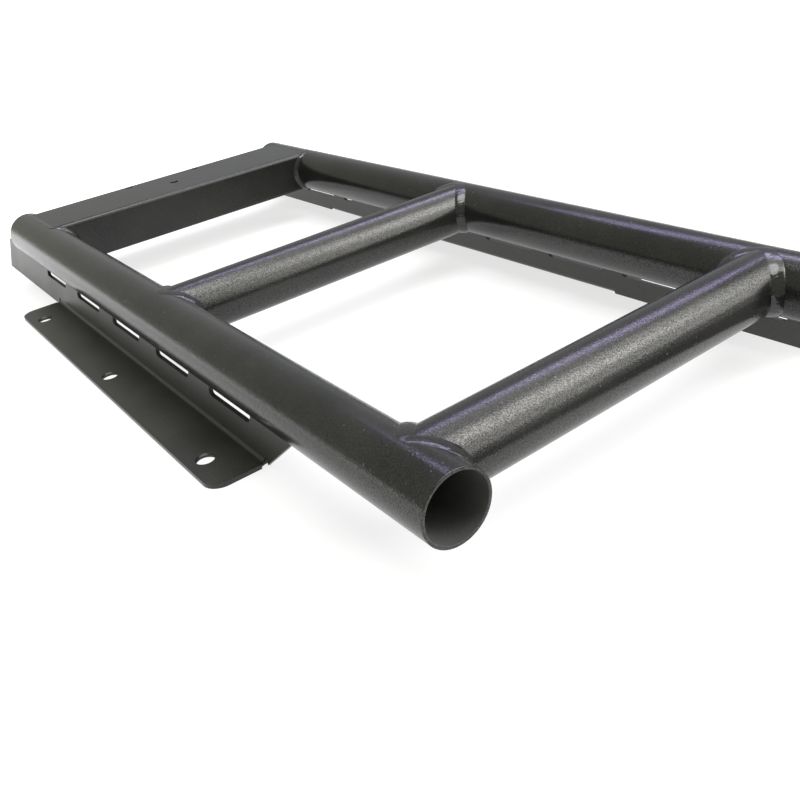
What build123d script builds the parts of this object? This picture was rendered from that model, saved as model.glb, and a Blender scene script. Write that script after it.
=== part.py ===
# Car ladder: a welded ladder for the outside of a vehicle.
# Two round rails carry two round rungs and a rectangular top bar. Under each rail runs a bracket of
# bent sheet: its web is stitch welded to the rail and its flange bolts to the vehicle.
# Millimetres. X runs across the ladder, Y along the rails towards the top bar, Z up from the
# mounting plane under the flanges. The origin is the middle of the ladder's base.
import os
from math import cos, radians, sqrt, tan

from build123d import *

# Round tube of the rails and rungs
tube_diameter = 42.0
tube_wall = 2.0
rail_length = 690.0
rail_spacing = 294.0
axis_height = 49.5

# Rungs, measured along the rails from the rails' lower ends
first_rung = 37.5
rung_pitch = 300.0
rung_names = ["lower_rung", "upper_rung"]

# Top bar of rectangular tube, flush with the tops of the rails
bar_width = 80.0
bar_height = 40.0
bar_wall = 2.0
bar_corner = 4.0
bar_end_margin = 10.0
bar_hole_diameter = 9.0
bar_edge_hole_diameter = 7.0
bar_edge_hole_spacing = 78.0
bar_edge_hole_margin = 8.0

# Bent sheet of the brackets. The web leans outwards from the rail down to the flange.
sheet = 3.0
bend_radius = 3.0
web_lean = 16.2
web_foot = 16.0
flange_reach = 53.5
flange_start = 174.0
flange_length = 420.0
flange_corner = 12.0
relief_diameter = 5.0
bolt_hole_diameter = 13.0
bolt_hole_offset = 40.5
bolt_hole_pitch = 175.0
bolt_hole_count = 3

# Both webs run on past the rails' upper ends. They differ at their lower ends: the left one is
# short and cut at a slant, the right one runs down to the rail's own end.
web_end = 777.0
left_web_start = 140.0
right_web_start = 5.0

# Notches along the web's upper edge, which the rail closes. The last one ends its margin before the
# rail's upper end.
notch_length = 60.0
notch_drop = 30.0
notch_corner = 4.0
last_notch_margin = 57.0
left_notch_pitch = 94.0
left_notch_count = 5
right_notch_pitch = 78.5
right_notch_count = 8

# Welds. Every piece stands clear of its neighbour by the seam gap, which the weld bridges.
seam_gap = 0.1
weld_leg = 5.0
weld_rise = 1.5
ring_weld_half_width = 4.5
ring_weld_overrun = 3.0
bar_weld_radius = 5.0
stitch_weld_radius = 4.0
stitch_weld_margin = 4.0
last_stitch_length = 30.0

# Values worked out from the sizes above
tube_radius = tube_diameter / 2
rail_offset = rail_spacing / 2
seat_radius = tube_radius + seam_gap
flange_end = flange_start + flange_length
last_notch_end = rail_length - last_notch_margin
ladder_length = web_end
lean_slope = tan(radians(web_lean))
sheet_across = sheet / cos(radians(web_lean))
bar_far_face = rail_length - bar_end_margin
bar_middle = bar_far_face - bar_width / 2
bar_top = axis_height + tube_radius
bar_bottom = bar_top - bar_height
bar_near_face = bar_far_face - bar_width
notch_bottom = axis_height - notch_drop
past_all = rail_spacing


def at(y):
    """Place along the ladder: from the rails' lower ends to the part's own middle."""
    return y - ladder_length / 2


def bar_along_y(radius, start, end, x, z):
    """Round bar along Y between two places measured from the rails' lower ends."""
    return extrude(Plane(origin=(x, at(start), z), z_dir=(0, 1, 0)) * Circle(radius), end - start)


def bar_along_x(radius, y):
    """Round bar along X from rail axis to rail axis."""
    section = Plane(origin=(-rail_offset, at(y), axis_height), z_dir=(1, 0, 0))
    return extrude(section * Circle(radius), rail_spacing)


def rail_seats():
    """The space that both rails take, with the seam gap round them."""
    return [bar_along_y(seat_radius, -past_all, ladder_length + past_all, side * rail_offset, axis_height)
            for side in (-1, 1)]


def rail(side):
    """Round tube, open at both ends."""
    tube = bar_along_y(tube_radius, 0, rail_length, side * rail_offset, axis_height)
    bore = bar_along_y(tube_radius - tube_wall, 0, rail_length, side * rail_offset, axis_height)
    return tube - bore


def rung(y):
    """Round tube whose ends are cut to saddle round the rails."""
    return bar_along_x(tube_radius, y) - bar_along_x(tube_radius - tube_wall, y) - rail_seats()


def bar_outline(inset):
    """Section of the top bar, set in by a wall thickness or out by a gap."""
    width = bar_width - 2 * inset
    height = bar_height - 2 * inset
    middle = (-rail_offset, at(bar_middle), bar_top - bar_height / 2)
    section = Plane(origin=middle, x_dir=(0, 1, 0), z_dir=(1, 0, 0))
    return section * RectangleRounded(width, height, bar_corner - inset)


def bar_hole(diameter, x, y):
    """Hole down through the top wall of the bar."""
    top = Plane(origin=(x, at(y), bar_top + bar_wall))
    return extrude(top * Circle(diameter / 2), -(bar_wall + bar_height / 2))


def top_bar():
    """Rectangular tube saddled round the rails, with three holes in its top wall."""
    tube = extrude(bar_outline(0), rail_spacing) - extrude(bar_outline(bar_wall), rail_spacing) - rail_seats()
    holes = [bar_hole(bar_hole_diameter, 0, bar_middle)]
    for side in (-1, 1):
        x = side * bar_edge_hole_spacing / 2
        holes.append(bar_hole(bar_edge_hole_diameter, x, bar_far_face - bar_edge_hole_margin))
    return tube - holes


def web_face(z):
    """Distance of the web's outer face from the rail's axis, at a height over the mounting plane."""
    return web_foot - z * lean_slope


def web_seam():
    """Where the web's outer face meets the rail: distance from the rail's axis, and height."""
    at_axis = web_face(axis_height)
    slope = 1 + lean_slope**2
    below_axis = (sqrt(slope * seat_radius**2 - at_axis**2) - at_axis * lean_slope) / slope
    return web_face(axis_height - below_axis), axis_height - below_axis


def strip_section(flanged):
    """Section of the bracket, drawn outwards from the rail's axis and up from the mounting plane."""
    top = axis_height
    outer_top = (web_face(top), top)
    inner_top = (web_face(top) - sheet_across, top)
    heel = (web_foot - sheet_across, 0)
    if not flanged:
        return make_face(Polyline(outer_top, (web_foot, 0), heel, inner_top, close=True))
    hollow = (web_face(sheet), sheet)
    outline = make_face(Polyline(outer_top, hollow, (flange_reach, sheet), (flange_reach, 0), heel, inner_top,
                                 close=True))
    bend_inside = outline.vertices().sort_by_distance(hollow)[0]
    outline = fillet(bend_inside, bend_radius)
    bend_outside = outline.vertices().sort_by_distance(heel)[0]
    return fillet(bend_outside, bend_radius + sheet)


def strip(flanged, start, end):
    """Length of bracket section, for the right side of the ladder."""
    across = Plane(origin=(rail_offset, at(end), 0), x_dir=(1, 0, 0), z_dir=(0, -1, 0))
    return extrude(across * strip_section(flanged), end - start)


def notch(start):
    """Opening under the rail, with rounded lower corners."""
    height = 2 * (axis_height - notch_bottom)
    side_view = Plane(origin=(rail_offset, at(start + notch_length / 2), notch_bottom + height / 2),
                      x_dir=(0, 1, 0), z_dir=(1, 0, 0))
    return extrude(side_view * RectangleRounded(notch_length, height, notch_corner), flange_reach, both=True)


def notch_starts(pitch, count):
    """Lower ends of the notches. The last one ends at the same place on both sides."""
    return [last_notch_end - notch_length - pitch * (count - 1 - i) for i in range(count)]


def slant_cut(start):
    """What cutting the web's lower end at a slant takes off, from the rail down to the flange."""
    seam_height = web_seam()[1]
    side_view = Plane(origin=(rail_offset, 0, 0), x_dir=(0, 1, 0), z_dir=(1, 0, 0))
    corner = make_face(Polyline((at(start) - sheet, 0), (at(flange_start), 0), (at(start), seam_height),
                                (at(start), axis_height), (at(start) - sheet, axis_height), close=True))
    return extrude(side_view * corner, flange_reach, both=True)


def bracket(start, slanted, pitch, count):
    """Bent sheet bracket for the right side. A slanted web ends flush with its flange at the foot."""
    with_flange = strip(True, flange_start, flange_end)
    outer_corners = with_flange.edges().filter_by(Axis.Z).group_by(Axis.X)[-1]
    body = strip(False, start, flange_start) + fillet(outer_corners, flange_corner)
    body += strip(False, flange_end, web_end)
    cuts = rail_seats()
    cuts += [notch(place) for place in notch_starts(pitch, count)]
    for place in (flange_start, flange_end):
        relief = Cylinder(relief_diameter / 2, 4 * bend_radius)
        cuts.append(Pos(rail_offset + web_foot, at(place), 0) * relief)
    for i in range(bolt_hole_count):
        y = (flange_start + flange_end) / 2 + (i - (bolt_hole_count - 1) / 2) * bolt_hole_pitch
        bolt_hole = Cylinder(bolt_hole_diameter / 2, 4 * sheet)
        cuts.append(Pos(rail_offset + bolt_hole_offset, at(y), 0) * bolt_hole)
    if slanted:
        cuts.append(slant_cut(start))
    return body - cuts


def ring_weld(y):
    """Bead round a rung's end on the left rail: flat faced, along the two half ellipses of the seam."""
    joint = Vector(-rail_offset, at(y), axis_height)
    bead = []
    for way in (-1, 1):
        along = Plane(origin=joint, x_dir=(1, way, 0), z_dir=(-way, 1, 0))
        face = Ellipse(sqrt(2) * tube_radius + weld_leg / sqrt(2), tube_radius + weld_rise)
        branch = extrude(along * face, ring_weld_half_width, both=True)
        room = Box(tube_radius + ring_weld_overrun + 2 * weld_leg, 2 * tube_radius, 4 * tube_radius,
                   align=(Align.MIN, Align.MIN if way > 0 else Align.MAX, Align.CENTER))
        bead.append(branch & (Pos(joint) * Pos(-ring_weld_overrun, 0, 0) * room))
    return bead[0] + bead[1] - rail_seats() - bar_along_x(seat_radius, y)


def bar_wall_bead(y, way):
    """Fillet bead up one side wall of the bar, turned about the left rail's axis."""
    level = Plane(origin=(-rail_offset, at(y) + way * seam_gap, axis_height))
    corner = make_face(Polyline((seat_radius, 0), (seat_radius, way * weld_leg), (seat_radius + weld_leg, 0),
                                close=True))
    ring = revolve(level * corner, Axis((-rail_offset, 0, axis_height), (0, 1, 0)))
    height = bar_height + 2 * weld_rise
    room = Box(2 * tube_radius, 4 * weld_leg, height, align=(Align.MIN, Align.CENTER, Align.CENTER))
    return ring & (Pos(-rail_offset, at(y), bar_top - bar_height / 2) * room)


def bar_weld():
    """Bead all round the bar's end on the left rail: two side walls, top and bottom."""
    bead = bar_wall_bead(bar_near_face, -1) + bar_wall_bead(bar_far_face, 1)
    start = bar_near_face - weld_leg / 2
    end = bar_far_face + weld_leg / 2
    for height, outwards in ((bar_top, 1), (bar_bottom, -1)):
        seam = sqrt(seat_radius**2 - (height - axis_height)**2)
        z = height + outwards * (weld_rise - bar_weld_radius)
        bead += bar_along_y(bar_weld_radius, start, end, seam - rail_offset, z)
    return bead - rail_seats() - extrude(bar_outline(-seam_gap), rail_spacing)


def stitch_weld(start, end):
    """Bead between the right rail and the outer face of the web, along one tab."""
    out, height = web_seam()
    gap_across = seam_gap / cos(radians(web_lean))
    across = Plane(origin=(rail_offset, at(end), 0), x_dir=(1, 0, 0), z_dir=(0, -1, 0))
    top = axis_height
    behind = make_face(Polyline((web_face(0) + gap_across, 0), (web_face(top) + gap_across, top),
                                (-web_foot, top), (-web_foot, 0), close=True))
    bead = bar_along_y(stitch_weld_radius, start, end, rail_offset + out, height)
    return bead - rail_seats() - extrude(across * behind, end - start)


def stitch_places(start, pitch, count):
    """Lower and upper end of each stitch weld: one on every tab, and one past the last notch."""
    tabs_start = [start] + [place + notch_length for place in notch_starts(pitch, count)]
    tabs_end = notch_starts(pitch, count) + [last_notch_end + last_stitch_length + 2 * stitch_weld_margin]
    return [(low + stitch_weld_margin, high - stitch_weld_margin) for low, high in zip(tabs_start, tabs_end)]


left_bracket = bracket(left_web_start, True, left_notch_pitch, left_notch_count)
right_bracket = bracket(right_web_start, False, right_notch_pitch, right_notch_count)
pieces = {
    "left_rail": rail(-1),
    "right_rail": rail(1),
    "top_bar": top_bar(),
    "left_bracket": mirror(left_bracket, Plane.YZ),
    "right_bracket": right_bracket,
    "top_bar_weld_left": bar_weld(),
    "top_bar_weld_right": mirror(bar_weld(), Plane.YZ),
}
for i, name in enumerate(rung_names):
    y = first_rung + i * rung_pitch
    pieces[name] = rung(y)
    pieces[f"{name}_weld_left"] = ring_weld(y)
    pieces[f"{name}_weld_right"] = mirror(ring_weld(y), Plane.YZ)
for i, (low, high) in enumerate(stitch_places(left_web_start, left_notch_pitch, left_notch_count)):
    pieces[f"left_bracket_weld_{i + 1}"] = mirror(stitch_weld(low, high), Plane.YZ)
for i, (low, high) in enumerate(stitch_places(right_web_start, right_notch_pitch, right_notch_count)):
    pieces[f"right_bracket_weld_{i + 1}"] = stitch_weld(low, high)

os.makedirs("parts", exist_ok=True)
for name, piece in pieces.items():
    piece.label = name
    export_step(piece, f"parts/{name}.step")
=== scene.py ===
# %% [markdown]
# # A welded car ladder in black powder coat
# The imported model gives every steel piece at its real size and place. This script adds what a
# fabricator and a coating shop leave on it: rounded tube lips and sheet edges, weld beads with their
# ripples, spatter beside the seams, and the fine grain of a satin powder coat.
# The frame comes first, because every piece below takes its size and place from it.

# %% Load the frame
from math import acos, ceil, cos, pi, radians, sin, sqrt

import bmesh
import bpy
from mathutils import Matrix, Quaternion, Vector


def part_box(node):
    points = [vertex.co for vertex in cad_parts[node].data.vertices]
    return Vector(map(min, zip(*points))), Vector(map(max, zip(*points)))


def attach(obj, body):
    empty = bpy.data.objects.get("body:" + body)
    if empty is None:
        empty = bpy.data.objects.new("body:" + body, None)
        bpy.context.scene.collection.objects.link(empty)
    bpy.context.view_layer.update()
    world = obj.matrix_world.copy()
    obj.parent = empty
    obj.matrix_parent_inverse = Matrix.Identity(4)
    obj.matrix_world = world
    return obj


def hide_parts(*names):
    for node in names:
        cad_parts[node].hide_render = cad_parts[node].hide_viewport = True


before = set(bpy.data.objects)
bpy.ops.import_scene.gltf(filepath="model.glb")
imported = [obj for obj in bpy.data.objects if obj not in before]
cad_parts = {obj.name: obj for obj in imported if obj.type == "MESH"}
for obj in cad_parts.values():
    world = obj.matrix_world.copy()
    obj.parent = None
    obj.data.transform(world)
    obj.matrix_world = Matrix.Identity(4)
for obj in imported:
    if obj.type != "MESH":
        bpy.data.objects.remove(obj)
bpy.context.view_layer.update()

mm = 0.001

# %% [markdown]
# The camera stands low beside the ladder's lower end and looks up along the left rail. Its place, the
# point it looks at and a small roll are three readable facts, and Blender turns them into a rotation:
# to_track_quat points the camera's own -Z along the line of sight, and the roll turns it about that line.

# %% Camera
camera_place = Vector((-0.3295, -0.6401, 0.2846))
camera_aim = Vector((-0.0572, -0.2141, 0.0))
camera_roll = radians(9.02)
camera_lens = 38.37
camera_sensor = 36.0
nearest_seen, farthest_seen = 0.01, 100.0


def link(name, data):
    """Puts new data in the scene as an object at the origin."""
    piece = bpy.data.objects.new(name, data)
    bpy.context.scene.collection.objects.link(piece)
    return piece


camera = link("camera", bpy.data.cameras.new("camera"))
camera.data.lens = camera_lens
camera.data.sensor_width = camera_sensor
camera.data.clip_start = nearest_seen
camera.data.clip_end = farthest_seen
sight = camera_aim - camera_place
camera.location = camera_place
camera.rotation_mode = "QUATERNION"
camera.rotation_quaternion = sight.to_track_quat("-Z", "Y") @ Quaternion((0, 0, 1), -camera_roll)
bpy.context.scene.camera = camera
print("camera:", round(sight.length, 3), "m from what it looks at")

# %% [markdown]
# Black satin paint has almost no colour of its own: what the eye sees is the room in it. So the room
# matters more than the paint. Each light is given by the direction it comes from and by its radiance,
# which is how bright it looks in a mirror. A broad window-like softbox on the right, with a brighter
# core, draws the wide warm streak along each rung, and a long violet tube overhead draws the thin line
# above it. The overhead panel is never mirrored towards the camera, so it whitens the table without
# greying the paint.

# %% Lights
def toward(azimuth, elevation):
    """Direction from the ladder, with azimuth 0 along +Y and 90 along +X."""
    turn, rise = radians(azimuth), radians(elevation)
    return Vector((sin(turn) * cos(rise), cos(turn) * cos(rise), sin(rise)))


def soft_light(name, direction, distance, size, radiance, colour, shape="RECTANGLE", roll=0):
    """Softbox that faces the ladder. Blender's power is four times radiance times area."""
    light = bpy.data.lights.new(name, "AREA")
    light.shape = shape
    light.size, light.size_y = size
    light.energy = 4 * radiance * size[0] * size[1]
    light.color = colour
    panel = link(name, light)
    panel.location = toward(*direction) * distance
    panel.rotation_mode = "QUATERNION"
    level = (-toward(*direction)).to_track_quat("-Z", "Y")
    panel.rotation_quaternion = level @ Quaternion((0, 0, 1), radians(roll))
    panel.visible_camera = False
    return panel


warm_white = (1.0, 0.985, 0.94)
cool_white = (1.0, 1.0, 0.99)
pure_white = (1.0, 1.0, 1.0)
violet = (0.66, 0.56, 1.0)
soft_light("window", (134, 30), distance=6.0, size=(5.2, 5.0), radiance=2.8, colour=warm_white)
soft_light("window_core", (132, 49), distance=5.9, size=(1.8, 4.4), radiance=4.4, colour=warm_white)
soft_light("ceiling_panel", (84, 61), distance=6.0, size=(4.6, 3.6), radiance=1.4, colour=cool_white)
soft_light("violet_tube", (60, 50), distance=2.15, size=(1.95, 0.22), radiance=7.0, colour=violet, roll=19)
soft_light("overhead", (0, 90), distance=5.0, size=(3.4, 3.4), radiance=5.0, colour=pure_white, shape="DISK")

# %% [markdown]
# Dim walls fill the rest of the reflections, olive on the far side and bluish on the right. A sky of
# one colour would do for most products, but a round black tube mirrors the whole room, so the world
# blends its two wall colours by direction. Standard colour management keeps white paper white and black
# paint black, as a plain camera does.

# %% Walls of the room
far_wall_tone = (0.98, 1.0, 0.86)
right_wall_tone = (0.90, 0.93, 1.0)
right_wall_azimuth = 75
wall_radiance = 0.52


def blend_colour(tree, share, first, second):
    """Mixes two colours, each a colour value or another node's output."""
    node = tree.nodes.new("ShaderNodeMix")
    node.data_type = "RGBA"
    tree.links.new(share, node.inputs["Factor"])
    for socket, colour in ((node.inputs[6], first), (node.inputs[7], second)):
        if isinstance(colour, bpy.types.NodeSocket):
            tree.links.new(colour, socket)
        else:
            socket.default_value = (*colour, 1)
    return node.outputs[2]


world = bpy.data.worlds.new("studio")
world.use_nodes = True
walls = world.node_tree
rightward = walls.nodes.new("ShaderNodeVectorMath")
rightward.operation = "DOT_PRODUCT"
rightward.inputs[1].default_value = toward(right_wall_azimuth, 0)
walls.links.new(walls.nodes.new("ShaderNodeTexCoord").outputs["Generated"], rightward.inputs[0])
wall_colour = blend_colour(walls, rightward.outputs["Value"], far_wall_tone, right_wall_tone)
walls.links.new(wall_colour, walls.nodes["Background"].inputs["Color"])
walls.nodes["Background"].inputs["Strength"].default_value = wall_radiance
bpy.context.scene.world = world
bpy.context.scene.view_settings.view_transform = "Standard"
print("walls:", far_wall_tone, "to", right_wall_tone)

# %% [markdown]
# The ladder lies on a plain pale light table, which glows a little from below and so keeps the shadows
# faint and the undersides bright. The glow is weaker under the ladder than beyond it.

# %% Light table
floor_size = 40.0
table_tone = 0.25
table_glow = (0.72, 1.45)
table_glow_reach = (0.35, 0.75)
matt_roughness = 0.7


def new_surface(name):
    """New material, with its node tree and its shader."""
    material = bpy.data.materials.new(name)
    material.use_nodes = True
    return material, material.node_tree, material.node_tree.nodes["Principled BSDF"]


def ramp(tree, value, band, result):
    """Maps a value from one range to another, held at both ends."""
    node = tree.nodes.new("ShaderNodeMapRange")
    node.inputs["From Min"].default_value, node.inputs["From Max"].default_value = band
    node.inputs["To Min"].default_value, node.inputs["To Max"].default_value = result
    tree.links.new(value, node.inputs["Value"])
    return node.outputs["Result"]


def flat_piece(name, corners, tone):
    """Flat stage piece with a plain matt surface."""
    surface, tree, shader = new_surface(name + "_surface")
    shader.inputs["Base Color"].default_value = (tone, tone, tone, 1)
    shader.inputs["Roughness"].default_value = matt_roughness
    shape = bpy.data.meshes.new(name)
    shape.from_pydata(corners, [], [(0, 1, 2, 3)])
    shape.materials.append(surface)
    link(name, shape)
    return tree, shader


half = floor_size / 2
table_corners = [(-half, -half, 0), (half, -half, 0), (half, half, 0), (-half, half, 0)]
paper, paper_shader = flat_piece("white_table", table_corners, table_tone)
far_off = paper.nodes.new("ShaderNodeVectorMath")
far_off.operation = "LENGTH"
paper.links.new(paper.nodes.new("ShaderNodeTexCoord").outputs["Object"], far_off.inputs[0])
glow = ramp(paper, far_off.outputs["Value"], table_glow_reach, table_glow)
paper_shader.inputs["Emission Color"].default_value = (1, 1, 1, 1)
paper.links.new(glow, paper_shader.inputs["Emission Strength"])
print("table:", floor_size, "m wide, glow", table_glow)

# %% [markdown]
# Outside the picture, to the right of the lower end, a black card lies flat on the table. It is painted
# shade: a dark sheet where the room beyond the table's edge is only dim. Its reflection is the dark band
# under the streak of each rung.

# %% Shade card
card_azimuth = 149
card_reach = (0.415, 1.7)
card_half_width = 1.5
card_lift = 1 * mm
# Near-black card tone: painted shade for the dim room beyond the table's edge.
shade_card_tone = 0.03

card_side = toward(card_azimuth + 90, 0) * card_half_width
near_edge, far_edge = (toward(card_azimuth, 0) * reach + Vector((0, 0, card_lift)) for reach in card_reach)
card_corners = [near_edge + card_side, far_edge + card_side, far_edge - card_side, near_edge - card_side]
flat_piece("shade_card", card_corners, shade_card_tone)
print("card:", card_reach, "m away")

# %% [markdown]
# Powder coat is a plastic skin melted on to the steel, and noise textures make it here. Each one is
# named by the width of its features, so that it can be compared with a real panel. Bump nodes tilt the
# light on the skin and leave the mesh alone, which suits relief of a tenth of a millimetre or less.

# %% Helpers for the coat
def noise(tree, place, size, detail, roughness=0.5):
    """Noise texture whose features are about one size wide, in metres."""
    node = tree.nodes.new("ShaderNodeTexNoise")
    node.inputs["Scale"].default_value = 1 / size
    node.inputs["Detail"].default_value = detail
    node.inputs["Roughness"].default_value = roughness
    tree.links.new(place, node.inputs["Vector"])
    return node.outputs["Fac"]


def bump(tree, height, strength, depth, under=None):
    """Tilts the surface by a height pattern of a given depth in metres."""
    node = tree.nodes.new("ShaderNodeBump")
    node.inputs["Strength"].default_value = strength
    node.inputs["Distance"].default_value = depth
    tree.links.new(height, node.inputs["Height"])
    if under is not None:
        tree.links.new(under, node.inputs["Normal"])
    return node.outputs["Normal"]


print("coat helpers:", noise.__name__, bump.__name__)

# %% [markdown]
# Five things show in the coat. A fine grain about a millimetre wide breaks the edge of a highlight.
# Pits a little smaller mirror less light than the skin round them, and they make the speckle. A slower
# wave of a few millimetres is the orange peel that melted powder keeps. Dust grains under the skin
# stand up as pale nibs. Clouds as wide as a hand's touch change the gloss and the black a little.
# All of it reads Object coordinates, so the pattern stays on the piece from any side.

# %% Powder coat
coat_ior = 1.5
pit_size, pit_band = 0.8 * mm, (0.36, 0.64)
cloud_size, tone_band, gloss_band = 45 * mm, (0.35, 0.65), (0.3, 0.7)
dust_size, dust_band, nib_band = 1.5 * mm, (0.83, 0.86), (0.76, 0.86)
dust_colour, dust_cover = (0.20, 0.195, 0.18), 0.25
nib_strength, nib_depth = 0.6, 0.10 * mm
peel_size, peel_strength, peel_depth = 3.6 * mm, 0.35, 0.04 * mm


def powder_coat(name, grain, depth, gloss, tone, shine, pitting):
    """Satin black powder coat. Gloss is a roughness range, tone the two blacks that it drifts between."""
    material, tree, shader = new_surface(name)
    place = tree.nodes.new("ShaderNodeTexCoord").outputs["Object"]
    shader.inputs["IOR"].default_value = coat_ior
    pits = noise(tree, place, pit_size, 1.0)
    mirrored = ramp(tree, pits, pit_band, (shine * (1 - pitting), shine * (1 + pitting)))
    tree.links.new(mirrored, shader.inputs["Specular IOR Level"])
    cloud = noise(tree, place, cloud_size, 3.0)
    black = blend_colour(tree, ramp(tree, cloud, tone_band, (0, 1)), *tone)
    specks = noise(tree, place, dust_size, 0.0)
    dust = ramp(tree, specks, dust_band, (0, dust_cover))
    tree.links.new(blend_colour(tree, dust, black, dust_colour), shader.inputs["Base Color"])
    tree.links.new(ramp(tree, cloud, gloss_band, gloss), shader.inputs["Roughness"])
    peel = bump(tree, noise(tree, place, peel_size, 0.0), peel_strength, peel_depth)
    nib = bump(tree, ramp(tree, specks, nib_band, (0, 1)), nib_strength, nib_depth, peel)
    fine = bump(tree, noise(tree, place, grain, 1.0), 1.0, depth, nib)
    tree.links.new(fine, shader.inputs["Normal"])
    return material


deep_black = ((0.009, 0.009, 0.009), (0.014, 0.014, 0.013))
olive_black = ((0.016, 0.016, 0.014), (0.022, 0.022, 0.019))
# Lighter bore black: partly a thinner coat, partly painted light for light reaching into the bore.
bore_black_and_painted_light = ((0.050, 0.050, 0.051), (0.070, 0.070, 0.070))
tube_coat = powder_coat("tube_powder_coat", 0.9 * mm, 0.09 * mm, gloss=(0.15, 0.20), tone=deep_black,
                        shine=0.43, pitting=0.45)
bar_coat = powder_coat("bar_powder_coat", 1.0 * mm, 0.06 * mm, gloss=(0.22, 0.29), tone=deep_black,
                       shine=0.32, pitting=0.2)
sheet_coat = powder_coat("sheet_powder_coat", 1.0 * mm, 0.050 * mm, gloss=(0.30, 0.38), tone=olive_black,
                         shine=0.5, pitting=0.2)
weld_coat = powder_coat("weld_powder_coat", 1.0 * mm, 0.045 * mm, gloss=(0.14, 0.20), tone=deep_black,
                        shine=0.5, pitting=0.2)
bore_coat = powder_coat("bore_powder_coat_and_painted_light", 1.4 * mm, 0.080 * mm, gloss=(0.50, 0.62), tone=bore_black_and_painted_light,
                        shine=0.25, pitting=0.2)
print("materials:", [m.name for m in bpy.data.materials])

# %% [markdown]
# The tube is a stock size, so its diameter and wall are given here as on a drawing. Where each piece
# lies is read from the frame: the rails' axes, their ends, the rungs' places and later the bar's box.

# %% Sizes from the frame
tube_radius = 21.0 * mm
tube_wall = 2.0 * mm
left_low, left_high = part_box("left_rail")
rail_x = -round(left_high.x + left_low.x, 4) / 2
rail_z = round(left_high.z + left_low.z, 4) / 2
rail_start, rail_end = left_low.y, left_high.y
rung_places = {name: (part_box(name)[0].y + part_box(name)[1].y) / 2 for name in ("lower_rung", "upper_rung")}
print("tube radius", round(tube_radius, 4), "rails at x", round(rail_x, 4), "rungs at y", rung_places)

# %% [markdown]
# A Geometry Nodes tree is a recipe that Blender runs on a base mesh. Tubes, beads and spatter each get
# one, because they repeat with other sizes. These helpers let a tree be written a line at a time, much
# as its nodes would be read from left to right in the editor.

# %% Helpers for node trees
def new_tree(name, sizes):
    """Geometry Nodes tree with a geometry and a material input, and named inputs for its sizes."""
    tree = bpy.data.node_groups.new(name, "GeometryNodeTree")
    tree.interface.new_socket("Geometry", in_out="INPUT", socket_type="NodeSocketGeometry")
    tree.interface.new_socket("Geometry", in_out="OUTPUT", socket_type="NodeSocketGeometry")
    tree.interface.new_socket("Material", in_out="INPUT", socket_type="NodeSocketMaterial")
    for label, value in sizes.items():
        kind = "NodeSocketInt" if isinstance(value, int) else "NodeSocketFloat"
        socket = tree.interface.new_socket(label, in_out="INPUT", socket_type=kind)
        socket.default_value = value
    return tree, tree.nodes.new("NodeGroupInput"), tree.nodes.new("NodeGroupOutput")


def add(tree, kind, links=(), settings=(), values=()):
    """Adds one node, sets its options and values, and joins sockets to its inputs."""
    node = tree.nodes.new(kind)
    for key, value in dict(settings).items():
        setattr(node, key, value)
    for key, value in dict(values).items():
        node.inputs[key].default_value = value
    for key, source in dict(links).items():
        tree.links.new(source, node.inputs[key])
    return node


def read_attribute(tree, name, kind="FLOAT"):
    """A value that the base mesh carries on its points."""
    node = add(tree, "GeometryNodeInputNamedAttribute", (), {"data_type": kind}, {"Name": name})
    return node.outputs["Attribute"]


print("tree helpers:", new_tree.__name__, add.__name__, read_attribute.__name__)

# %% [markdown]
# Sums are nodes as well, one for each step. A term is either a plain number, which is set on the
# socket, or the output of another node, which is joined to it.

# %% Sums in a tree
def feed(tree, sockets, terms):
    """Gives each socket its term, a value or another node's output."""
    for socket, term in zip(sockets, terms):
        if isinstance(term, bpy.types.NodeSocket):
            tree.links.new(term, socket)
        else:
            socket.default_value = term


def calc(tree, operation, *terms):
    """One step of arithmetic."""
    node = add(tree, "ShaderNodeMath", (), {"operation": operation})
    feed(tree, node.inputs, terms)
    return node.outputs[0]


def vector_calc(tree, operation, *terms):
    """One step of vector arithmetic. The second term of SCALE is a number."""
    node = add(tree, "ShaderNodeVectorMath", (), {"operation": operation})
    feed(tree, [node.inputs[0], node.inputs["Scale"] if operation == "SCALE" else node.inputs[1]], terms)
    return node.outputs[0]


print("sum helpers:", feed.__name__, calc.__name__, vector_calc.__name__)

# %% [markdown]
# A tree's result lives only as long as its modifier. An exported model needs real meshes, so each tree
# ends in Realize Instances and Set Material, and new_from_object keeps what it made as a plain mesh.
# Doubled points are merged and the faces turned outwards, which shading and 3-D printing both need.

# %% Running a tree
merge_distance = 0.002 * mm


def close_tree(tree, group_in, group_out, geometry):
    """Ends a tree as the export needs it: real meshes with their material."""
    real = add(tree, "GeometryNodeRealizeInstances", {"Geometry": geometry})
    painted = add(tree, "GeometryNodeSetMaterial",
                  {"Geometry": real.outputs[0], "Material": group_in.outputs["Material"]})
    tree.links.new(painted.outputs[0], group_out.inputs[0])
    print(tree.name, "tree:", len(tree.nodes), "nodes")


def evaluated_mesh(piece):
    """The mesh that a piece's modifiers make, as plain data."""
    bpy.context.view_layer.update()
    return bpy.data.meshes.new_from_object(piece.evaluated_get(bpy.context.evaluated_depsgraph_get()))


def run_tree(name, tree, base, material, sizes):
    """Runs a tree on a base mesh and keeps the result as a plain mesh object, faces pointing outwards."""
    holder = link(name + "_base", base)
    modifier = holder.modifiers.new("nodes", "NODES")
    modifier.node_group = tree
    for item in tree.interface.items_tree:
        if item.in_out == "INPUT" and item.name == "Material":
            modifier[item.identifier] = material
        elif item.in_out == "INPUT" and item.name in sizes:
            modifier[item.identifier] = sizes[item.name]
    shape = evaluated_mesh(holder)
    bpy.data.objects.remove(holder)
    shape.name = name
    work = bmesh.new()
    work.from_mesh(shape)
    bmesh.ops.remove_doubles(work, verts=work.verts, dist=merge_distance)
    bmesh.ops.recalc_face_normals(work, faces=work.faces)
    work.to_mesh(shape)
    work.free()
    return link(name, shape)


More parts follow.
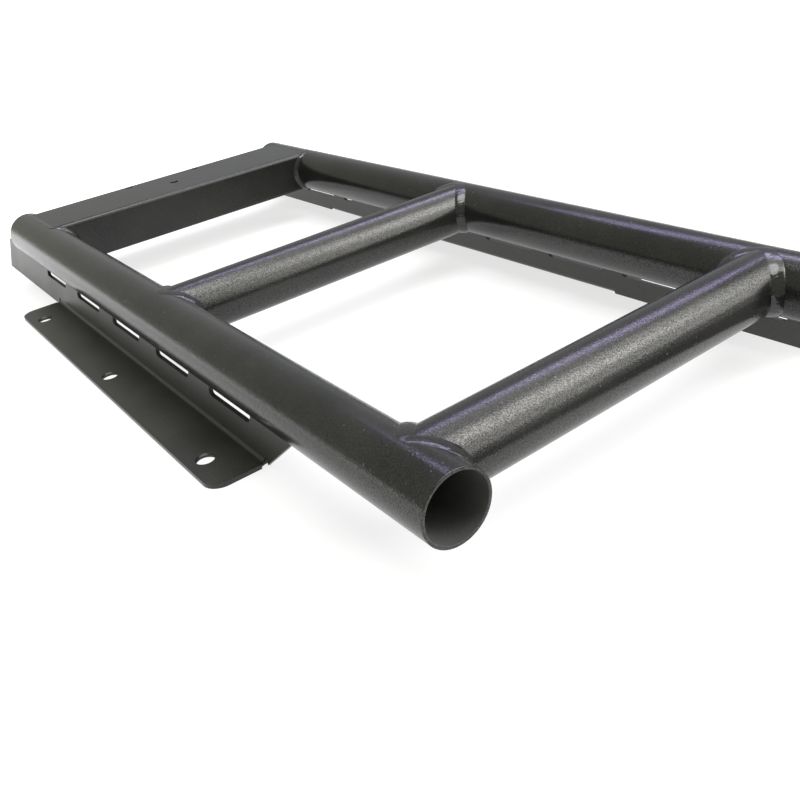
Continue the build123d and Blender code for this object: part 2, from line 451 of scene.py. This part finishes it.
def finish_piece(piece, slot, *nodes):
    """Rides the piece on the ladder and lets it stand for its CAD nodes."""
    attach(piece, "root")
    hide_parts(*nodes)
    print(piece.name, len(piece.data.polygons), "faces")


print("points closer than", round(merge_distance / mm, 4), "mm are merged")

# %% [markdown]
# A tube is a ring of wall section, and that is how the node tree below makes it: a circle as the path
# and the wall's own outline, with rounded lips, as the profile that Curve to Mesh carries round it.

# %% Tube tree, the plain tube
tube_sides = 144
lip_steps = 3

tube_tree, tube_in, tube_out = new_tree("tube", {
    "Radius": tube_radius, "Wall": tube_wall, "Length": 690 * mm, "Lip": 0.4 * mm, "Sides": tube_sides,
    "Seat": 0.0, "Reach": 100 * mm})


def tube_sum(operation, *terms):
    """One step of arithmetic in the tube tree."""
    return calc(tube_tree, operation, *terms)


wall = tube_in.outputs["Wall"]
middle_radius = tube_sum("SUBTRACT", tube_in.outputs["Radius"], tube_sum("MULTIPLY", wall, 0.5))
ring = add(tube_tree, "GeometryNodeCurvePrimitiveCircle",
           {"Resolution": tube_in.outputs["Sides"], "Radius": middle_radius})
section = add(tube_tree, "GeometryNodeCurvePrimitiveQuadrilateral",
              {"Width": wall, "Height": tube_in.outputs["Length"]})
lips = add(tube_tree, "GeometryNodeFilletCurve",
           {"Curve": section.outputs[0], "Radius": tube_in.outputs["Lip"]},
           {"mode": "POLY"}, {"Count": lip_steps})
turned = add(tube_tree, "GeometryNodeCurveToMesh",
             {"Curve": ring.outputs["Curve"], "Profile Curve": lips.outputs[0]})
print("tube tree so far:", len(tube_tree.nodes), "nodes")

# %% [markdown]
# A rung is the same tube whose ends are cut to sit on the rails, so the tree can also pull each end
# point in to a saddle: the distance from the rail's axis is the root of seat squared less height squared.
# A Boolean would cut it too, but it leaves long thin triangles that spoil the shading beside the seam.

# %% Tube tree, the saddle ends
least_seat = 0.1 * mm

spot = add(tube_tree, "ShaderNodeSeparateXYZ", {0: add(tube_tree, "GeometryNodeInputPosition").outputs[0]})
x, y, z = (spot.outputs[axis] for axis in "XYZ")
seat = tube_in.outputs["Seat"]
drop_squared = tube_sum("SUBTRACT", tube_sum("MULTIPLY", seat, seat), tube_sum("MULTIPLY", x, x))
drop = tube_sum("SQRT", tube_sum("MAXIMUM", drop_squared, 0.0))
saddle_z = tube_sum("MULTIPLY", tube_sum("SIGN", z), tube_sum("SUBTRACT", tube_in.outputs["Reach"], drop))
saddle_spot = add(tube_tree, "ShaderNodeCombineXYZ", {0: x, 1: y, 2: saddle_z})
seated = add(tube_tree, "GeometryNodeSetPosition",
             {"Geometry": turned.outputs[0], "Selection": tube_sum("GREATER_THAN", seat, least_seat),
              "Position": saddle_spot.outputs[0]})
smooth = add(tube_tree, "GeometryNodeSetShadeSmooth", {"Geometry": seated.outputs[0]})
close_tree(tube_tree, tube_in, tube_out, smooth.outputs[0])

# %% [markdown]
# The rails stay open at both ends, so their lips show: each is rolled over by half a millimetre, as a
# deburred and coated edge is. The tree makes a tube standing on Z, and each tube is then laid along X
# or Y. The rungs use the saddle input instead of a lip. Powder hardly reaches into a tube, so the bore
# gets a thinner, greyer and duller coat. Its grey is also lighter as painted light, for the light that
# reaches into the bore.

# %% Rails and rungs
rail_lip = 0.5 * mm
rung_lip = 0.05 * mm
seat_gap = 0.1 * mm
bore_skin = tube_radius - tube_wall * 0.9
flat_weight = 90


def laid_tube(name, middle, along, sizes):
    """A tube from the tree, laid along X or Y with its middle at a point."""
    piece = run_tree(name, tube_tree, bpy.data.meshes.new(name + "_base"), tube_coat,
                     {"Radius": tube_radius, "Wall": tube_wall, "Sides": tube_sides, **sizes})
    for vertex in piece.data.vertices:
        x, y, z = vertex.co
        place = (z, y, -x) if along == "X" else (x, z, -y)
        vertex.co = Vector(middle) + Vector(place)
    return piece


def keep_flats_flat(piece):
    """Weights each point's normal by the area of its faces, so that a long face isn't shaded by its end."""
    weighted = piece.modifiers.new("normals", "WEIGHTED_NORMAL")
    weighted.weight = flat_weight
    shape = evaluated_mesh(piece)
    piece.modifiers.clear()
    piece.data = shape


for side, node in ((-1, "left_rail"), (1, "right_rail")):
    tube = laid_tube(node + "_tube", (side * rail_x, (rail_start + rail_end) / 2, rail_z), "Y",
                     {"Length": rail_end - rail_start, "Lip": rail_lip})
    keep_flats_flat(tube)
    tube.data.materials.append(bore_coat)
    for face in tube.data.polygons:
        from_axis = (face.center - Vector((side * rail_x, face.center.y, rail_z))).length
        face.material_index = 1 if from_axis < bore_skin else 0
    finish_piece(tube, "tube", node)
for node, y in rung_places.items():
    tube = laid_tube(node + "_tube", (0, y, rail_z), "X",
                     {"Length": 2 * rail_x, "Lip": rung_lip, "Seat": tube_radius + seat_gap, "Reach": rail_x})
    keep_flats_flat(tube)
    finish_piece(tube, "tube", node)

# %% [markdown]
# Laser-cut sheet and square tube have edges that look sharp but catch a thin line of light, because
# the coating rounds them. A copy of each CAD mesh gets that line: its triangles are merged into whole
# faces, a narrow Bevel rounds what is left of the sharp edges, and Weighted Normal keeps the big faces
# flat in the light. The short edges of a rounded corner are left out, because they aren't corners.

# %% Bar and brackets
edge_round = 0.45 * mm
edge_segments = 2
shortest_edge = 1.2 * mm
sharp_angle = radians(38)
flat_angle = radians(0.6)
cad_merge_distance = 0.005 * mm


def softened(node, name, coat, width):
    """Copy of a CAD node with narrow rounded edges."""
    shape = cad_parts[node].data.copy()
    work = bmesh.new()
    work.from_mesh(shape)
    bmesh.ops.remove_doubles(work, verts=work.verts, dist=cad_merge_distance)
    bmesh.ops.dissolve_limit(work, angle_limit=flat_angle, verts=work.verts, edges=work.edges)
    weights = work.edges.layers.float.new("bevel_weight_edge")
    for edge in work.edges:
        edge.smooth = True
        sharp = len(edge.link_faces) == 2 and edge.calc_face_angle() > sharp_angle
        edge[weights] = 1.0 if sharp and edge.calc_length() > shortest_edge else 0.0
    for face in work.faces:
        face.smooth = True
    work.to_mesh(shape)
    work.free()
    holder = link(name + "_base", shape)
    bevel = holder.modifiers.new("edges", "BEVEL")
    bevel.width = width
    bevel.segments = edge_segments
    bevel.limit_method = "WEIGHT"
    holder.modifiers.new("normals", "WEIGHTED_NORMAL").weight = flat_weight
    rounded = evaluated_mesh(holder)
    bpy.data.objects.remove(holder)
    rounded.name = name
    rounded.materials.clear()
    rounded.materials.append(coat)
    return link(name, rounded)


finish_piece(softened("top_bar", "top_bar_tube", bar_coat, edge_round), "bar", "top_bar")
for side in ("left", "right"):
    plate = softened(f"{side}_bracket", f"{side}_bracket_plate", sheet_coat, edge_round)
    finish_piece(plate, "bracket", f"{side}_bracket")

# %% [markdown]
# A weld bead follows a seam, so its path is the seam itself. Each path point carries three arrows: half
# the bead's width from one toe to the other, its rise at the crest, and its root down in the corner.
# The node tree sweeps a ring along the path, and every ring point remembers where on the path it sits,
# how far round the ring it is, and at which beat of the welder's hand.

# %% Bead tree, the swept ring
bead_tree, bead_in, bead_out = new_tree("weld_bead", {
    "Profile Points": 20, "Ripple Pitch": 2.2 * mm, "Ripple Height": 0.3, "Bow": 0.8, "Wander": 0.5,
    "Ridge Height": 0.16, "Fullness": 1.6, "Lump Size": 6 * mm, "Lump Height": 0.40, "Seed": 0.0})


def bead_sum(operation, *terms):
    """One step of arithmetic in the bead tree."""
    return calc(bead_tree, operation, *terms)


def keep_value(geometry, name, value, kind="FLOAT"):
    """Stores a value on the points under a name."""
    node = add(bead_tree, "GeometryNodeStoreNamedAttribute", {"Geometry": geometry},
               {"data_type": kind, "domain": "POINT"}, {"Name": name})
    bead_tree.links.new(value, node.inputs["Value"])
    return node.outputs["Geometry"]


way_along = add(bead_tree, "GeometryNodeSplineParameter").outputs["Factor"]
seam_length = add(bead_tree, "GeometryNodeSplineLength").outputs["Length"]
beats = bead_sum("ROUND", bead_sum("DIVIDE", seam_length, bead_in.outputs["Ripple Pitch"]))
here = add(bead_tree, "GeometryNodeInputPosition").outputs[0]
path_curve = add(bead_tree, "GeometryNodeMeshToCurve", {"Mesh": bead_in.outputs["Geometry"]}).outputs[0]
path_curve = keep_value(path_curve, "seat", here, "FLOAT_VECTOR")
path_curve = keep_value(path_curve, "beat", bead_sum("MULTIPLY", way_along, beats))
ring = add(bead_tree, "GeometryNodeCurvePrimitiveCircle",
           {"Resolution": bead_in.outputs["Profile Points"]}, values={"Radius": 1 * mm}).outputs["Curve"]
way_round = add(bead_tree, "GeometryNodeSplineParameter").outputs["Factor"]
ring = keep_value(ring, "turn", bead_sum("MULTIPLY", way_round, 2 * pi))
swept = add(bead_tree, "GeometryNodeCurveToMesh", {"Curve": path_curve, "Profile Curve": ring},
            values={"Fill Caps": True})
print("bead tree so far:", len(bead_tree.nodes), "nodes")

# %% [markdown]
# Ripples come from the beat of the welder's hand along the seam, bowed back at the toes like the edge
# of a coin laid on the last one, and the hand wanders. Long ridges lie beside each other as well, where
# one pass was laid over another, and slow lumps show where more wire ran in. All three swell or thin the
# crest. The noise reads the place on the seam, so each bead keeps its own pattern for its seed.

# %% Bead tree, ripples and lumps
ripple_middle = 0.64
hand_wander = 8.0
sway_stretch, sway_seed_step, sway_detail = 0.6, 7.0, 2.0
lump_gain, lump_detail = 4.0, 1.5
ridge_count, ridge_drift = 1.4, 3.0

turn = read_attribute(bead_tree, "turn")
seat_spot = read_attribute(bead_tree, "seat", "FLOAT_VECTOR")
across, height = bead_sum("COSINE", turn), bead_sum("SINE", turn)
seed, lump_size = bead_in.outputs["Seed"], bead_in.outputs["Lump Size"]


def seam_noise(seed, scale, detail):
    """Noise along the seam that changes with the seed."""
    node = add(bead_tree, "ShaderNodeTexNoise", {"Vector": seat_spot, "W": seed, "Scale": scale},
               {"noise_dimensions": "4D"}, {"Detail": detail})
    return node.outputs["Fac"]


lump = bead_sum("SUBTRACT", seam_noise(seed, bead_sum("DIVIDE", 1.0, lump_size), lump_detail), 0.5)
sway = seam_noise(bead_sum("ADD", seed, sway_seed_step), bead_sum("DIVIDE", sway_stretch, lump_size),
                  sway_detail)

bow = bead_sum("MULTIPLY", bead_in.outputs["Bow"], bead_sum("MULTIPLY", across, across))
wander = bead_sum("MULTIPLY", bead_sum("SUBTRACT", sway, 0.5),
                  bead_sum("MULTIPLY", bead_in.outputs["Wander"], hand_wander))
phase = bead_sum("ADD", bead_sum("ADD", read_attribute(bead_tree, "beat"), bow), wander)
scallop = bead_sum("ABSOLUTE", bead_sum("SINE", bead_sum("MULTIPLY", phase, pi)))
ripple = bead_sum("MULTIPLY", bead_in.outputs["Ripple Height"], bead_sum("SUBTRACT", scallop, ripple_middle))
lumps = bead_sum("MULTIPLY", lump, bead_sum("MULTIPLY", bead_in.outputs["Lump Height"], lump_gain))
ridge_turn = bead_sum("ADD", bead_sum("MULTIPLY", across, ridge_count),
                      bead_sum("MULTIPLY", sway, ridge_drift))
ridge = bead_sum("MULTIPLY", bead_sum("COSINE", bead_sum("MULTIPLY", 2 * pi, ridge_turn)),
                 bead_in.outputs["Ridge Height"])
swell = bead_sum("ADD", bead_sum("ADD", bead_sum("ADD", 1.0, ripple), lumps), ridge)
print("bead tree so far:", len(bead_tree.nodes), "nodes")

# %% [markdown]
# The tree then moves every ring point by the three arrows, so the bead sits on both pieces wherever the
# angle between them changes. The upper half of the ring becomes the crest. Its fullness is a power: at
# one the crest would be a half ellipse with steep toes, and above one the toes run out flat, as wet
# metal does. The lower half becomes a triangle down to the root, which stays inside the tube's wall.

# %% Bead tree, the three arrows
toe_spread, toe_waver = 1.04, 0.35

full_height = bead_sum("POWER", bead_sum("MAXIMUM", height, 0.0), bead_in.outputs["Fullness"])
crest = bead_sum("MULTIPLY", full_height, swell)
deep = bead_sum("MULTIPLY", bead_sum("LESS_THAN", height, 0.0),
                bead_sum("SUBTRACT", 1.0, bead_sum("ABSOLUTE", across)))
spread = bead_sum("MULTIPLY", across, bead_sum("ADD", toe_spread, bead_sum("MULTIPLY", lump, toe_waver)))
moved = seat_spot
for arrow, share in (("half", spread), ("rise", crest), ("root", deep)):
    step = vector_calc(bead_tree, "SCALE", read_attribute(bead_tree, arrow, "FLOAT_VECTOR"), share)
    moved = vector_calc(bead_tree, "ADD", moved, step)
shaped = add(bead_tree, "GeometryNodeSetPosition", {"Geometry": swept.outputs[0], "Position": moved})
smooth = add(bead_tree, "GeometryNodeSetShadeSmooth", {"Geometry": shaped.outputs[0]})
close_tree(bead_tree, bead_in, bead_out, smooth.outputs[0])

# %% [markdown]
# The seam of a rung on a rail of the same diameter is two half ellipses that meet in a point at the
# rail's crown. It is easiest to see with the rail's skin unrolled flat: one axis is the place along the
# rail, the other the distance round it from its crown. There the seam is a plain closed outline.

# %% Seams on the unrolled rail
path_step = 0.7 * mm
seam_stretch = 1.22


def rail_skin(side, y, around, out=0.0):
    """Point on the rail's skin, given by its place along the rail and the way round from its crown."""
    angle = around / tube_radius
    reach = tube_radius + out
    return Vector((side * (rail_x - reach * sin(angle)), y, rail_z + reach * cos(angle)))


def rung_outline(y):
    """Seam of a rung on the unrolled rail, with the rung's own outward direction at each point."""
    count = ceil(2 * pi * seam_stretch * tube_radius / path_step)
    outline = []
    for i in range(count):
        turn = 2 * pi * i / count
        around = tube_radius * min(turn, 2 * pi - turn)
        outline.append((y + tube_radius * sin(turn), around, Vector((0, sin(turn), cos(turn)))))
    return outline


print("rung seam:", len(rung_outline(0)), "points")

# %% [markdown]
# The bar is square, so its seam has four sides and four round corners. They are laid out in the bar's
# own cross-section first, and each point's height then gives its way round the rail.

# %% Seam of the bar
bar_corner = 4.0 * mm
corner_steps = 8


def bar_outline(low, high, corner):
    """Seam of the square bar on the unrolled rail, with the bar's outward direction at each point."""
    section = []
    centres = ((high.y - corner, high.z - corner), (high.y - corner, low.z + corner),
               (low.y + corner, low.z + corner), (low.y + corner, high.z - corner))
    for k, (y, z) in enumerate(centres):
        next_y, next_z = centres[(k + 1) % 4]
        for i in range(corner_steps):
            turn = pi / 2 * (k + i / corner_steps)
            outward = Vector((0, sin(turn), cos(turn)))
            section.append((y + corner * sin(turn), z + corner * cos(turn), outward))
        turn = pi / 2 * (k + 1)
        outward = Vector((0, sin(turn), cos(turn)))
        steps = ceil((abs(next_y - y) + abs(next_z - z)) / path_step)
        for i in range(steps):
            share = i / steps
            section.append((y + (next_y - y) * share + corner * sin(turn),
                            z + (next_z - z) * share + corner * cos(turn), outward))
    outline = []
    for y, z, outward in section:
        up = max(-1.0, min(1.0, (z - rail_z) / tube_radius))
        outline.append((y, tube_radius * acos(up), outward))
    return outline


# %% [markdown]
# A bead has two toes. The outer one lies on the rail, a leg away from the seam, and the other on the
# branch, which is the rung or the bar. Where the seam comes to a point at the crown, a welder can't
# follow it: the bead flows round in a bow. So the outline is rounded there by a running mean, and a toe
# on a rung is snapped back to the rung's skin, or the rounding would bury it. Both toes go in by a hair,
# so that no slit of light shows under them.

# %% Toes of a bead
toe_sink = 0.12 * mm


def rounded_outline(outline, rounds):
    """Running mean round a closed outline, which bows its points at the crown."""
    for _ in range(rounds):
        before, after = outline[-1:] + outline[:-1], outline[1:] + outline[:1]
        outline = [((b[0] + y + a[0]) / 3, (b[1] + around + a[1]) / 3, outward)
                   for b, (y, around, outward), a in zip(before, outline, after)]
    return outline


def smoothed(values, reach, rounds):
    """Running mean round a closed list of directions."""
    for _ in range(rounds):
        values = [sum((values[(i + k) % len(values)] for k in range(-reach, reach + 1)),
                      Vector((0, 0, 0))).normalized() for i in range(len(values))]
    return values


def on_rung(y):
    """Snaps a point to the rung's skin, a hair below it."""
    def snap(point, outward):
        off_axis = Vector((0, point.y - y, point.z - rail_z))
        return point - off_axis + off_axis.normalized() * (tube_radius - toe_sink)
    return snap


def on_bar(point, outward):
    """Keeps a point where it is, a hair below the bar's skin."""
    return point - outward * toe_sink


print("toes sink by", round(toe_sink / mm, 3), "mm")

# %% [markdown]
# The three arrows follow from the toes. The seam's outward side on the unrolled skin is a flat normal,
# and the rail's toe is that normal times the leg, shorter at the crown, where the two skins lie level
# and the bead is thin. The rise points midway between the two skins, square to the line from toe to toe.

# %% Path of a bead
root_depth = 0.9 * mm
crown_reach = 14 * mm
crown_leg_share = 0.5
normal_reach, normal_rounds = 2, 3


def seam_path(side, outline, leg, rise, crown_rise, rounds, on_branch):
    """Bead path round a branch on a rail: place, half width, rise and root at each point."""
    outline = rounded_outline(outline, rounds)
    count = len(outline)
    flat_normals = []
    for i in range(count):
        ahead, behind = outline[(i + 1) % count], outline[i - 1]
        flat_normals.append(Vector((ahead[1] - behind[1], behind[0] - ahead[0], 0)).normalized())
    flat_normals = smoothed(flat_normals, normal_reach, normal_rounds)
    path = []
    for (y, around, outward), flat in zip(outline, flat_normals):
        seam = rail_skin(side, y, around)
        off_crown = min(1.0, around / crown_reach, (pi * tube_radius - around) / crown_reach)
        rail_leg = leg * (crown_leg_share + (1 - crown_leg_share) * off_crown)
        rail_toe = rail_skin(side, y + flat.x * rail_leg, around + flat.y * rail_leg, -toe_sink)
        branch_toe = on_branch(seam - Vector((side * leg, 0, 0)), outward)
        half_width = (branch_toe - rail_toe) / 2
        middle = (branch_toe + rail_toe) / 2
        rail_normal = (rail_skin(side, y, around, 1.0) - seam).normalized()
        out = rail_normal + outward
        out = (out - out.project(half_width)).normalized()
        flatness = max(0.0, rail_normal.dot(outward))
        lift = rise + (crown_rise - rise) * flatness**2
        root = seam - (rail_normal + outward).normalized() * root_depth - middle
        path.append((middle, half_width, out * lift, root))
    return path


print("bead roots go", round(root_depth / mm, 3), "mm deep")

# %% [markdown]
# A node tree reads a mesh, so the path becomes one: points joined by edges, without faces. The three
# arrows go with the points as named attributes, which is how a tree gets data that a script worked out.

# %% Path as a mesh
arrow_columns = {"half": 1, "rise": 2, "root": 3}


def path_mesh(path, closed):
    """Edges along a bead path, with its arrows kept on the points."""
    shape = bpy.data.meshes.new("path")
    edges = [(i, i + 1) for i in range(len(path) - 1)]
    if closed:
        edges.append((len(path) - 1, 0))
    shape.from_pydata([point[0] for point in path], edges, [])
    for label, column in arrow_columns.items():
        attribute = shape.attributes.new(label, "FLOAT_VECTOR", "POINT")
        attribute.data.foreach_set("vector", [value for point in path for value in point[column]])
    return shape


print("arrows on each path point:", list(arrow_columns))

# %% [markdown]
# All six joints are laid with one wire and one setting, but by hand no two beads match. So every bead
# has its own seed, and lumps and ripples differ a little from joint to joint. The bar's beads have a
# shorter leg, because its wall stands square on the rail and needs less fill.

# %% Beads round the rungs and the bar
rung_leg, rung_rise, rung_crown_rise, crown_rounds = 5.6 * mm, 0.8 * mm, 0.40 * mm, 24
bar_leg, bar_rise, bar_crown_rise, bar_rounds = 4.2 * mm, 0.75 * mm, 0.5 * mm, 6
lower_lumps, lump_step = 0.36, 0.1
left_ripples, ripple_step = 0.32, 0.06
bead_seed, seed_step = 3.0, 1.7
bar_seam = bar_outline(*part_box("top_bar"), bar_corner)

for k, (side, side_name) in enumerate(((-1, "left"), (1, "right"))):
    for n, (node, y) in enumerate(rung_places.items()):
        bead_seed += seed_step
        path = seam_path(side, rung_outline(y), rung_leg, rung_rise, rung_crown_rise, crown_rounds,
                         on_rung(y))
        bead = run_tree(f"{node}_bead_{side_name}", bead_tree, path_mesh(path, True), weld_coat,
                        {"Seed": bead_seed, "Lump Height": lower_lumps + lump_step * n,
                         "Ripple Height": left_ripples - ripple_step * k})
        finish_piece(bead, "weld", f"{node}_weld_{side_name}")
    bead_seed += seed_step
    path = seam_path(side, bar_seam, bar_leg, bar_rise, bar_crown_rise, bar_rounds, on_bar)
    bead = run_tree(f"top_bar_bead_{side_name}", bead_tree, path_mesh(path, True), weld_coat,
                    {"Seed": bead_seed})
    finish_piece(bead, "weld", f"top_bar_weld_{side_name}")

# %% [markdown]
# Drops of metal fly off a weld and freeze beside it, and the coating rounds them into small balls. The
# tree scatters them over a band of tube skin on each side of the bead, sinks them in by half and gives
# each its own size. A ball of two subdivisions is round enough at a third of a millimetre.

# %% Spatter tree
drop_subdivisions, drop_faces = 2, 80

spatter_tree, spatter_in, spatter_out = new_tree("spatter", {
    "Density": 4000.0, "Smallest": 0.16 * mm, "Largest": 0.45 * mm, "Seed": 1})
scattered = add(spatter_tree, "GeometryNodeDistributePointsOnFaces",
                {"Mesh": spatter_in.outputs["Geometry"], "Density": spatter_in.outputs["Density"],
                 "Seed": spatter_in.outputs["Seed"]})
drop_size = add(spatter_tree, "FunctionNodeRandomValue",
                {2: spatter_in.outputs["Smallest"], 3: spatter_in.outputs["Largest"],
                 "Seed": spatter_in.outputs["Seed"]}, {"data_type": "FLOAT"})
drop_ball = add(spatter_tree, "GeometryNodeMeshIcoSphere",
                values={"Radius": 1.0, "Subdivisions": drop_subdivisions})
drops = add(spatter_tree, "GeometryNodeInstanceOnPoints",
            {"Points": scattered.outputs["Points"], "Instance": drop_ball.outputs["Mesh"],
             "Rotation": scattered.outputs["Rotation"], "Scale": drop_size.outputs[1]})
real_drops = add(spatter_tree, "GeometryNodeRealizeInstances", {"Geometry": drops.outputs[0]})
smooth = add(spatter_tree, "GeometryNodeSetShadeSmooth", {"Geometry": real_drops.outputs[0]})
close_tree(spatter_tree, spatter_in, spatter_out, smooth.outputs[0])

# %% [markdown]
# The band is a thin strip of faces laid out from the same seam: it starts beyond the bead's toe and runs
# away from the seam, once over the rail's skin and once over the rung's.

# %% Spatter beside the rungs
band_start = 6.5 * mm
band_width = 11.0 * mm
band_steps = 4
first_spatter_seed, spatter_seed_step = 5, 3


def spatter_band(side, outline):
    """Strips of rail and rung skin along both sides of a seam."""
    centre_y = sum(y for y, _, _ in outline) / len(outline)
    spots, faces = [], []
    count = len(outline)
    for on_rail in (True, False):
        first = len(spots)
        for y, around, outward in outline:
            away = Vector((y - centre_y, around - pi / 2 * tube_radius)).normalized()
            for j in range(band_steps):
                off = band_start + band_width * j / (band_steps - 1)
                if on_rail:
                    spots.append(rail_skin(side, y + away.x * off, around + away.y * off))
                else:
                    spots.append(rail_skin(side, y, around) - Vector((side * off, 0, 0)))
        for i in range(count):
            for j in range(band_steps - 1):
                a, b = first + i * band_steps + j, first + (i + 1) % count * band_steps + j
                faces.append((a, b, b + 1, a + 1))
    shape = bpy.data.meshes.new("band")
    shape.from_pydata(spots, [], faces)
    return shape


for side, side_name in ((-1, "left"), (1, "right")):
    for n, (node, y) in enumerate(rung_places.items()):
        drops = run_tree(f"{node}_spatter_{side_name}", spatter_tree, spatter_band(side, rung_outline(y)),
                         weld_coat, {"Seed": first_spatter_seed + spatter_seed_step * n + side})
        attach(drops, "root")
        print(drops.name, len(drops.data.polygons) // drop_faces, "drops")

# %% [markdown]
# The brackets are stitched to the rails: a short bead on each tab between two notches. The seam is a
# straight line where the leaning web meets the round rail, so one cross-section serves them all, and
# the arrows shrink towards both ends to make the rounded start and stop of a stitch.

# %% Stitches on the brackets
web_lean = radians(16.2)
web_foot = 16.0 * mm
stitch_leg = 3.4 * mm
stitch_rise = 0.9 * mm
stitch_taper = 3.5 * mm
stitch_step = 0.5 * mm
smallest_end = 0.05
stitch_look = {"Profile Points": 16, "Lump Height": 0.5, "Lump Size": 5 * mm}


def stitch_path(side, start, end):
    """Bead path along one tab, from its lower to its upper end."""
    slope = sin(web_lean) / cos(web_lean)
    at_axis = web_foot - rail_z * slope
    grade = 1 + slope**2
    below = (sqrt(grade * tube_radius**2 - at_axis**2) - at_axis * slope) / grade
    seam_out = at_axis + below * slope
    angle = pi / 2 + acos(seam_out / tube_radius)
    rail_normal = Vector((side * sin(angle), 0, cos(angle)))
    web_normal = Vector((side * cos(web_lean), 0, sin(web_lean)))
    down_web = Vector((side * sin(web_lean), 0, -cos(web_lean)))
    axis = Vector((side * rail_x, 0, rail_z))
    seam = axis + rail_normal * tube_radius
    toe_angle = angle - stitch_leg / tube_radius
    rail_toe = axis + Vector((side * sin(toe_angle), 0, cos(toe_angle))) * (tube_radius - toe_sink)
    web_toe = seam + down_web * stitch_leg - web_normal * toe_sink
    half_width = (web_toe - rail_toe) / 2
    middle = (web_toe + rail_toe) / 2
    out = rail_normal + web_normal
    out = (out - out.project(half_width)).normalized()
    steps = ceil((end - start) / stitch_step)
    path = []
    for i in range(steps + 1):
        y = start + (end - start) * i / steps
        from_end = min(y - start, end - y) / stitch_taper
        size = 1.0 if from_end >= 1 else max(smallest_end, sqrt(1 - (1 - from_end)**2))
        place = Vector((0, y, 0)) + seam + (middle - seam) * size
        root = (seam - out * root_depth - middle) * size
        path.append((place, half_width * size, out * stitch_rise * size, root))
    return path


for node in sorted(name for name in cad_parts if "bracket_weld" in name):
    low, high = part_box(node)
    bead_seed += seed_step
    path = stitch_path(-1 if node.startswith("left") else 1, low.y, high.y)
    bead = run_tree(node.replace("_weld_", "_stitch_"), bead_tree, path_mesh(path, False), weld_coat,
                    {"Seed": bead_seed, **stitch_look})
    finish_piece(bead, "weld", node)
